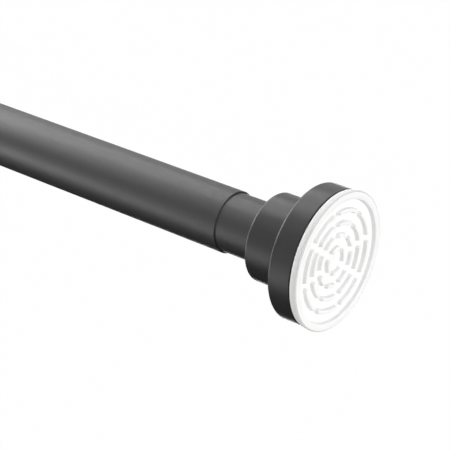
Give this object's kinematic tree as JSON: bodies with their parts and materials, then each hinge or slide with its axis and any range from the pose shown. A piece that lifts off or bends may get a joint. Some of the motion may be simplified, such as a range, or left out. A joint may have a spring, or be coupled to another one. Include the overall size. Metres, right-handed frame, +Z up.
{
  "type": "shower curtain rod",
  "caption": "Telescopic spring tension rod of two black tubes with stepped end caps and white ribbed wall pads, locked by a twist sleeve inside.",
  "frame": {"origin": "centre of the wall face of the pad on the larger tube's end", "axes": "+X along the rod from the larger tube's pad towards the thinner tube's pad, +Z up with the rod level"},
  "size_m": [1.05, 0.055, 0.055],
  "materials": {
    "black_tube": "matt black powder coat on steel tube",
    "black_cap": "satin black moulded plastic",
    "white_pad": "soft white silicone",
    "grey_plastic": "plain grey moulded plastic",
    "white_plastic": "natural white acetal",
    "plain_steel": "zinc-plated steel"
  },
  "bodies": {
    "fixed_side": {"outer_tube": "black_tube", "outer_end_cap": "black_cap", "outer_wall_pad": "white_pad", "outer_tube_plug": "grey_plastic", "outer_cap_screw": "plain_steel"},
    "lock_sleeve": {"lock_sleeve": "white_plastic"},
    "lock_cone": {"lock_cone": "white_plastic"},
    "lock_spindle": {"spindle": "plain_steel", "spring_seat": "white_plastic", "seat_pin": "plain_steel", "sleeve_clip": "plain_steel", "cone_stop_washer": "plain_steel", "cone_stop_screw": "plain_steel"},
    "sliding_side": {"inner_tube": "black_tube", "inner_end_cap": "black_cap", "inner_wall_pad": "white_pad", "inner_tube_plug": "grey_plastic", "inner_cap_screw": "plain_steel", "guide_bush": "grey_plastic", "spring_stop": "grey_plastic", "compression_spring": "plain_steel"}
  },
  "joints": [
    {"name": "length_adjust", "type": "slide", "parent": "fixed_side", "child": "lock_sleeve", "axis": [1, 0, 0], "range_m": [-0.0025, 0.7]},
    {"name": "twist_lock", "type": "hinge", "parent": "lock_sleeve", "child": "lock_spindle", "pos_m": [0.12, 0, 0], "axis": [1, 0, 0], "range_deg": [-270, 0]},
    {"name": "cone_feed", "type": "slide", "parent": "lock_sleeve", "child": "lock_cone", "axis": [1, 0, 0], "range_m": [0, 0.003]},
    {"name": "spring_travel", "type": "slide", "parent": "lock_spindle", "child": "sliding_side", "axis": [1, 0, 0], "range_m": [-0.015, 0], "stiffness_N_per_m": 3400, "springref_m": 0.01, "deforming": ["compression_spring"]}
  ],
  "couplings": [
    {"joint": "cone_feed", "follows": "twist_lock", "m_per_rad": -0.0006366}
  ]
}
